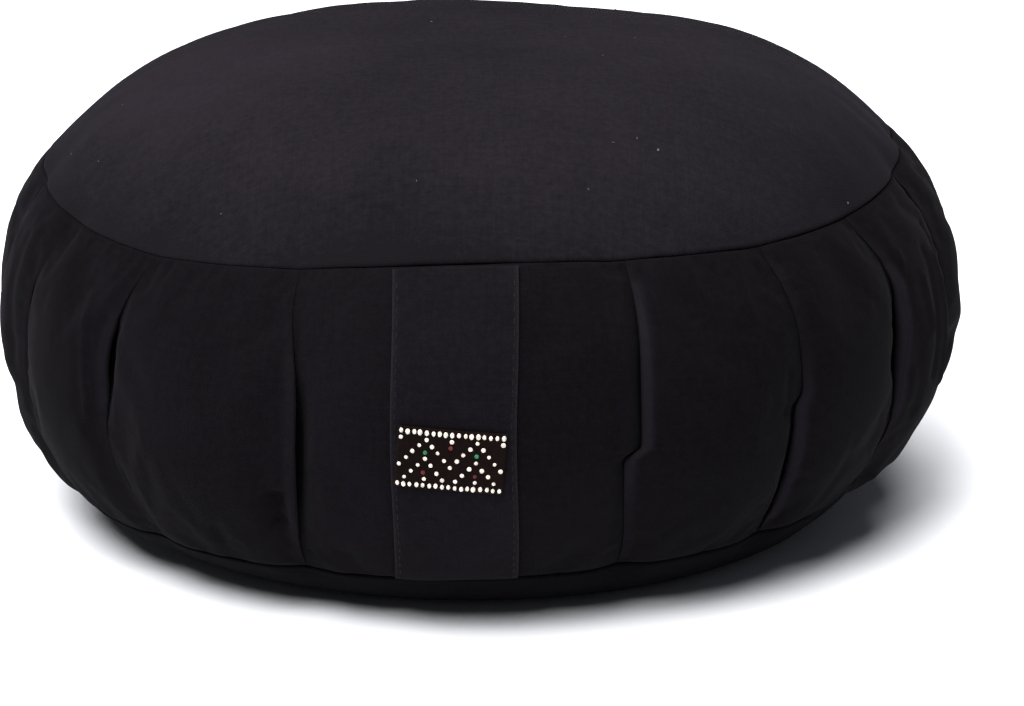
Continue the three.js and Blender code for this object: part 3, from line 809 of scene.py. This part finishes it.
def sheet_object(name, outer, inner, uvs, wear_and_painted_light=None):
    """Closed sheet between two grids of points."""
    along, across = outer.shape[:2]
    cloud = np.vstack([outer.reshape(-1, 3), inner.reshape(-1, 3)])
    at = np.arange(2 * along * across).reshape(2, along, across)
    front, back = at

    def quads(a, b, c, d):
        return np.stack([a.ravel(), b.ravel(), c.ravel(), d.ravel()], 1).tolist()

    faces = quads(front[:-1, :-1], front[:-1, 1:], front[1:, 1:], front[1:, :-1])
    faces += quads(back[:-1, :-1], back[1:, :-1], back[1:, 1:], back[:-1, 1:])
    faces += quads(back[:-1, 0], front[:-1, 0], front[1:, 0], back[1:, 0])
    faces += quads(front[:-1, -1], back[:-1, -1], back[1:, -1], front[1:, -1])
    faces += quads(back[0, :-1], back[0, 1:], front[0, 1:], front[0, :-1])
    faces += quads(front[-1, :-1], front[-1, 1:], back[-1, 1:], back[-1, :-1])
    flat = np.vstack([uvs.reshape(-1, 2)] * 2)
    if wear_and_painted_light is not None:
        wear_and_painted_light = np.concatenate([wear_and_painted_light.ravel()] * 2)
    return mesh_object(name, cloud, faces, flat, wear_and_painted_light)


def strap_point(side, height, outer):
    """Strap surface: side from -1 to 1 across it, outer from 0, its back, to 1, its face."""
    lift = 0.35 + STRAP_EDGE_LIFT * side**4
    thick = STRAP_THICK - STRAP_EDGE_THIN * side**4
    to_end = np.minimum(height - STRAP_ENDS[0], STRAP_ENDS[1] - height) * STRAP_RISE
    sewn = 1 - 0.55 * np.exp(-to_end / 2.4)
    x = STRAP_CENTRE + side * STRAP_WIDTH / 2 + 0.35 * np.sin(height * 9.0)
    spot = np.stack(np.broadcast_arrays(x * 0.35, 0 * x, height * STRAP_RISE), -1)
    sag = STRAP_SAG * lumps(spot, STRAP_SAG_SIZE)
    return front_point(x, height, (lift + outer * thick) * sewn + (sag + 0.1) * (1 - abs(side)))


def carry_strap():
    """Flat strap with rounded edges and a stitched channel along each."""
    edge = 1 - 0.8 / (STRAP_WIDTH / 2)
    side = np.concatenate([[-1, -0.985], np.linspace(-edge, edge, 49), [0.985, 1]])
    height = np.linspace(*STRAP_ENDS, 110)[:, None]
    away = (1 - np.abs(side)) * STRAP_WIDTH / 2
    groove = GROOVE_DEPTH * np.exp(-(((away - STITCH_INSET) / GROOVE_RUN) ** 2))
    rounding = EDGE_ROUND * np.exp(-away / 0.35)
    outer = strap_point(side, height, 1 - (groove + rounding) / STRAP_THICK)
    inner = strap_point(side, height, rounding / STRAP_THICK)
    uvs = np.stack(np.broadcast_arrays(side * STRAP_WIDTH / 2, height * STRAP_RISE), -1)
    wear_and_painted_light = np.broadcast_to(np.exp(-away / 0.6), outer.shape[:2])
    return sheet_object("strap", outer, inner, uvs, wear_and_painted_light)


def pellets(name, centres, alongs, normals, lengths, widths, heights):
    """Many small rounded pads in one mesh: stitches, beads and specks."""
    around, along = 8, 5
    turn = np.arange(around) * 2 * np.pi / around
    lean = np.linspace(0, np.pi, along + 2)[1:-1]
    ring = np.stack([np.stack([np.full(around, -np.cos(a)), np.sin(a) * np.cos(turn),
                               np.sin(a) * np.sin(turn)], -1) for a in lean]).reshape(-1, 3)
    shape = np.vstack([ring, [[-1, 0, 0], [1, 0, 0]]])
    faces = [face[::-1] for face in ring_faces(along, around)]
    faces += fan_faces(len(shape) - 2, 0, around, False)
    faces += fan_faces(len(shape) - 1, (along - 1) * around, around, True)
    sides = np.cross(normals, alongs)
    points, every = [], []
    for k, centre in enumerate(centres):
        frame_axes = np.stack([alongs[k] * lengths[k] / 2, sides[k] * widths[k] / 2,
                               normals[k] * heights[k] / 2])
        first = len(points) * len(shape)
        points.append(centre + shape @ frame_axes)
        every += [[first + corner for corner in face] for face in faces]
    cloud = np.vstack(points)
    return mesh_object(name, cloud, every, cloud[:, [0, 2]])


def strap_stitches():
    """Running stitches along both edges of the strap."""
    rng = np.random.default_rng(SEED + 1)
    height = np.arange(STRAP_ENDS[0] + 0.02, STRAP_ENDS[1] - 0.02, STITCH_PITCH / STRAP_RISE)
    height = np.tile(height, 2)
    side = np.repeat([-1, 1], len(height) // 2) * (1 - STITCH_INSET / (STRAP_WIDTH / 2))
    side = side + rng.normal(0, 0.004, len(side))
    on = strap_point(side, height, 1.0 - 0.12 / STRAP_THICK)
    ahead = strap_point(side, height + 0.004, 1.0 - 0.12 / STRAP_THICK)
    out = strap_point(side, height, 1.6)
    lengths = STITCH_PITCH * rng.uniform(0.58, 0.72, len(side))
    return pellets("strap_stitches", on, unit(ahead - on), unit(out - on), lengths,
                   np.full(len(side), STITCH_WIDTH), np.full(len(side), STITCH_HEIGHT))


def patch_point(a, b, out):
    """Point over the patch, at a along its width and b along its height from its middle."""
    front = section(np.zeros(1))[0]
    tilt = math.radians(PATCH["tilt"])
    x = PATCH["x"] + a * math.cos(tilt) + b * math.sin(tilt)
    z = PATCH["z"] - a * math.sin(tilt) + b * math.cos(tilt)
    height = (z - front[5]) / (front[1] - front[5])
    return front_point(x, height, GAP + STRAP_THICK + GAP + out)


def label_patch():
    """Plain woven ground of the patch, with soft edges."""
    rows, columns = PATCH_GRID
    a = np.linspace(-0.5, 0.5, columns)[None, :] * PATCH["width"]
    b = np.linspace(-0.5, 0.5, rows)[:, None] * PATCH["height"]
    away = np.minimum(PATCH["width"] / 2 - abs(a), PATCH["height"] / 2 - abs(b))
    rounding = EDGE_ROUND * np.exp(-away / 0.4)
    outer = patch_point(a, b, PATCH["thick"] - rounding)
    inner = patch_point(a, b, 0.0)
    uvs = np.stack(np.broadcast_arrays(a, b), -1)
    return sheet_object("patch", outer, inner, uvs)


def lint():
    """A few pale specks and short fibres caught on the cloth."""
    rng = np.random.default_rng(SEED + 7)
    around = rng.uniform(-180, 180, STREWN_ON_CROWN)
    q = np.sqrt(rng.uniform(0.02, 0.9, STREWN_ON_CROWN))
    around = np.concatenate([[spot[0] for spot in CROWN_SPECKS], around])
    q = np.concatenate([[spot[1] for spot in CROWN_SPECKS], q])
    on_crown = crown_point(around, q, -0.12 - crown_extra(around, q))
    crown_out = unit(crown_point(around, q, -4.0) - crown_point(around, q, 0.0))
    turns = rng.uniform(-70, 80, STREWN_ON_WALL)
    turns = turns[[all(abs(t - p["high"]) > 4 for p in PLEATS) and abs(t + 2) > 12 for t in turns]]
    rise = rng.uniform(0.25, 0.9, len(turns))
    out = pleated_relief(turns, rise)[0] + wall_drape(turns, rise)
    on_wall = side_point(turns, rise, out + 0.9)
    wall_out = unit(side_point(turns, rise, out + 5) - on_wall)
    centres = np.vstack([on_crown, on_wall])
    normals = np.vstack([crown_out, wall_out])
    alongs = unit(np.cross(normals, rng.normal(0, 1, normals.shape)))
    lengths = rng.uniform(0.35, 1.2, len(centres))
    thin = rng.uniform(0.16, 0.3, len(centres))
    lengths[:len(CROWN_SPECKS)] = [spot[2] for spot in CROWN_SPECKS]
    thin[0] = FIRST_SPECK_WIDTH
    return pellets("lint", centres, alongs, normals, lengths, thin, thin)


def patch_dots(name, letter):
    """Small raised dots woven into the patch."""
    rng = np.random.default_rng(SEED + ord(letter))
    spots = [(row, column) for row, line in enumerate(PATCH_CHART)
             for column, mark in enumerate(line) if mark == letter]
    row, column = np.array(spots, float).T
    last_row, last_column = len(PATCH_CHART) - 1, len(PATCH_CHART[0]) - 1
    a = (column - last_column / 2) * DOT_PITCH[0] + rng.normal(0, DOT_STRAY, len(row))
    b = (last_row / 2 - row) * DOT_PITCH[1] + rng.normal(0, DOT_STRAY, len(row))
    on = patch_point(a, b, PATCH["thick"] + 0.02)
    aside = patch_point(a + 0.5, b, PATCH["thick"] + 0.02)
    out = patch_point(a, b, PATCH["thick"] + 1.0)
    size = rng.uniform(0.85, 1.12, len(row))
    border = (row == 0) | (row == last_row)
    tall = np.where(border, DOT_SIZE["border"], DOT_SIZE["inside"]) * size
    return pellets(name, on, unit(aside - on), unit(out - on), DOT_SIZE["length"] * size, tall,
                   DOT_SIZE["relief"] * size)


def cloth_material(name, dark, pale, pitch=THREAD_PITCH):
    """Matt plain-weave cotton: crossing threads, uneven slubs, fading, and worn edges with painted
    highlight and painted shade.
    """
    material = bpy.data.materials.new(name)
    material.use_nodes = True
    nodes, links = material.node_tree.nodes, material.node_tree.links
    nodes.clear()

    def add(kind, **settings):
        node = nodes.new(kind)
        for key, value in settings.items():
            setattr(node, key, value)
        return node

    def math_node(operation, first, second=None):
        node = add("ShaderNodeMath", operation=operation)
        for index, value in enumerate((first, second)):
            if value is None:
                continue
            if isinstance(value, (int, float)):
                node.inputs[index].default_value = value
            else:
                links.new(value, node.inputs[index])
        return node.outputs[0]

    uv = add("ShaderNodeUVMap", uv_map="Cloth")
    split = add("ShaderNodeSeparateXYZ")
    links.new(uv.outputs[0], split.inputs[0])
    position = add("ShaderNodeTexCoord").outputs["Object"]

    def noise(vector, scale, detail=2.0, rough=0.5):
        node = add("ShaderNodeTexNoise")
        node.inputs["Scale"].default_value = scale
        node.inputs["Detail"].default_value = detail
        node.inputs["Roughness"].default_value = rough
        links.new(vector, node.inputs["Vector"])
        return node.outputs["Fac"]

    turn = 2 * math.pi / (2 * pitch * MM)
    wobble = math_node("MULTIPLY", noise(position, 60.0), 5.0)

    def wave(along):
        return math_node("SINE", math_node("ADD", math_node("MULTIPLY", along, turn), wobble))

    threads = math_node("MULTIPLY", wave(split.outputs[0]), wave(split.outputs[1]))

    def stretched(along, across):
        mapping = add("ShaderNodeMapping")
        mapping.inputs["Scale"].default_value = (along, across, 1)
        links.new(uv.outputs[0], mapping.inputs["Vector"])
        return noise(mapping.outputs[0], 1.0, 3.0, 0.6)

    slubs = math_node("ADD", stretched(900, 60), stretched(60, 900))
    thick_spots = math_node("MULTIPLY", slubs, SLUB_RELIEF)
    relief_out = math_node("ADD", math_node("MULTIPLY", threads, WEAVE_RELIEF), thick_spots)

    bump = add("ShaderNodeBump")
    bump.inputs["Strength"].default_value = 0.6
    bump.inputs["Distance"].default_value = 0.00022
    links.new(relief_out, bump.inputs["Height"])

    fade = noise(position, 9.0, 4.0, 0.6)
    fine = noise(position, 420.0, 2.0, 0.7)
    # The mesh attribute brings wear, painted highlight and painted shade into the colour
    wear_and_painted_light = add("ShaderNodeAttribute", attribute_name="wear_and_painted_light").outputs["Fac"]
    tone = math_node("ADD", math_node("MULTIPLY", fade, 0.5), math_node("MULTIPLY", fine, 0.25))
    tone = math_node("ADD", tone, math_node("MULTIPLY", slubs, 0.125))
    tone = math_node("ADD", tone, math_node("MULTIPLY", wear_and_painted_light, WEAR_AND_PAINTED_LIGHT_TONE))
    ramp = add("ShaderNodeValToRGB")
    ramp.color_ramp.elements[0].position = 0.3
    ramp.color_ramp.elements[0].color = (*dark, 1)
    ramp.color_ramp.elements[1].position = 1.0
    ramp.color_ramp.elements[1].color = (*pale, 1)
    links.new(tone, ramp.inputs[0])

    shader = add("ShaderNodeBsdfPrincipled")
    shader.inputs["Roughness"].default_value = 0.92
    shader.inputs["Specular IOR Level"].default_value = 0.02
    shader.inputs["Sheen Weight"].default_value = CLOTH_SHEEN
    shader.inputs["Sheen Roughness"].default_value = 0.55
    shader.inputs["Sheen Tint"].default_value = (*SHEEN_COLOR, 1)
    links.new(ramp.outputs[0], shader.inputs["Base Color"])
    links.new(bump.outputs[0], shader.inputs["Normal"])
    output = add("ShaderNodeOutputMaterial")
    links.new(shader.outputs[0], output.inputs[0])
    return material


def plain_material(name, color, roughness):
    """One even colour and roughness."""
    material = bpy.data.materials.new(name)
    material.use_nodes = True
    shader = material.node_tree.nodes["Principled BSDF"]
    shader.inputs["Base Color"].default_value = (*color, 1)
    shader.inputs["Roughness"].default_value = roughness
    return material


def fibre_material(name, color):
    """Thread, bead or fibre: uneven tone and roughness with fine ribs."""
    material = plain_material(name, color, 0.8)
    nodes, links = material.node_tree.nodes, material.node_tree.links
    shader = nodes["Principled BSDF"]
    place_node = nodes.new("ShaderNodeTexCoord")
    grains = nodes.new("ShaderNodeTexNoise")
    grains.inputs["Scale"].default_value = 1400.0
    grains.inputs["Detail"].default_value = 3
    links.new(place_node.outputs["Object"], grains.inputs["Vector"])
    ramp = nodes.new("ShaderNodeValToRGB")
    for element, share in zip(ramp.color_ramp.elements, (0.55, 1.25)):
        element.color = (*[min(1, share * part) for part in color], 1)
    ramp.color_ramp.elements[0].position = 0.3
    ramp.color_ramp.elements[1].position = 0.7
    links.new(grains.outputs["Fac"], ramp.inputs[0])
    links.new(ramp.outputs[0], shader.inputs["Base Color"])
    rough = nodes.new("ShaderNodeMapRange")
    rough.inputs["To Min"].default_value = 0.62
    rough.inputs["To Max"].default_value = 0.95
    links.new(grains.outputs["Fac"], rough.inputs["Value"])
    links.new(rough.outputs[0], shader.inputs["Roughness"])
    bump = nodes.new("ShaderNodeBump")
    bump.inputs["Strength"].default_value = 0.5
    bump.inputs["Distance"].default_value = 0.00008
    links.new(grains.outputs["Fac"], bump.inputs["Height"])
    links.new(bump.outputs[0], shader.inputs["Normal"])
    shader.inputs["Specular IOR Level"].default_value = 0.15
    return material


def studio():
    """Pale floor, soft lights and the camera at the photograph's angle."""
    bpy.ops.mesh.primitive_plane_add(size=8, location=(0, 0, -0.0004))
    floor = bpy.context.object
    floor.name = "floor"
    floor.data.materials.append(plain_material("pale_floor", FLOOR_COLOR, 0.7))

    world = bpy.data.worlds.new("studio")
    bpy.context.scene.world = world
    world.use_nodes = True
    background = world.node_tree.nodes["Background"]
    background.inputs[0].default_value = (*SKY_COLOR, 1)
    background.inputs[1].default_value = SKY_POWER

    def lamp(name, kind, power, direction):
        light = bpy.data.lights.new(name, kind)
        light.energy = power
        obj = bpy.data.objects.new(name, light)
        obj.rotation_euler = direction.to_track_quat("-Z", "Y").to_euler()
        bpy.context.scene.collection.objects.link(obj)
        return obj

    key = lamp("key", "SUN", KEY_POWER, -Vector(KEY_FROM))
    key.data.angle = math.radians(KEY_SPREAD)
    fill = lamp("fill", "AREA", FILL_POWER, Vector(FILL_TARGET) - Vector(FILL_AT))
    fill.data.shape = "DISK"
    fill.data.size = FILL_SIZE
    fill.location = FILL_AT

    camera = bpy.data.cameras.new("camera")
    camera.sensor_width = 36
    camera.lens = LENS
    obj = bpy.data.objects.new("camera", camera)
    pitch = math.radians(CAMERA_PITCH)
    aim = Vector((CAMERA_X, 0, CAMERA_AIM_HEIGHT))
    obj.location = aim - CAMERA_DISTANCE * Vector((0, math.cos(pitch), -math.sin(pitch)))
    obj.rotation_euler = (math.pi / 2 - pitch, 0, 0)
    bpy.context.scene.collection.objects.link(obj)
    bpy.context.scene.camera = obj
    bpy.context.scene.view_settings.view_transform = "Standard"


studio()

# One cotton in two copies: the wall's darkened as painted shade, the panel's lightened as painted
# light
wall_cloth_painted_shade = cloth_material("wall_cotton_painted_shade", *WALL_COLORS_PAINTED_SHADE)
panel_cloth_painted_light = cloth_material("panel_cotton_painted_light", *PANEL_COLORS_PAINTED_LIGHT)
strap_cloth = cloth_material("strap_cotton", *STRAP_COLORS)
patch_cloth = cloth_material("patch_ground", *PATCH_COLORS, pitch=PATCH_PITCH)

# Settled relief of the wall and of the crown; none where the simulation is left out
SETTLED = None
SETTLED = [even_out(field) for field in settle()]

cover = cushion_wall()
cover.data.materials.append(wall_cloth_painted_shade)
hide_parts("cushion_body")
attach(cover, "root")

rings = 1 - np.linspace(0, 1, PANEL_RINGS)[1:][::-1] ** 1.3
rings = rings[rings > 0.004]
top = round_panel("top_cloth", crown_point, 1.0, rings * 0.972, crown_extra, False)
top.data.materials.append(panel_cloth_painted_light)
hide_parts("top_panel")
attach(top, "root")

base_rings = np.linspace(0.02, 1.92, 40)
bottom = round_panel("bottom_cloth", base_point, 2.0, base_rings, smooth_extra, True)
# The base takes the wall's darker copy, as painted shade
bottom.data.materials.append(wall_cloth_painted_shade)
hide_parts("bottom_panel")
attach(bottom, "root")

strap = carry_strap()
strap.data.materials.append(strap_cloth)
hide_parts("carry_strap")
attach(strap, "root")

patch = label_patch()
patch.data.materials.append(patch_cloth)
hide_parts("label_patch")
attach(patch, "root")

stitches = strap_stitches()
stitches.data.materials.append(fibre_material("stitch_thread", THREAD_COLOR))
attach(stitches, "root")
specks = lint()
specks.data.materials.append(fibre_material("lint_fibre", LINT_COLOR))
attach(specks, "root")
for letter, color in DOT_COLORS.items():
    dots = patch_dots("patch_dots_" + letter, letter)
    dots.data.materials.append(fibre_material("dots_" + letter, color))
    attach(dots, "root")
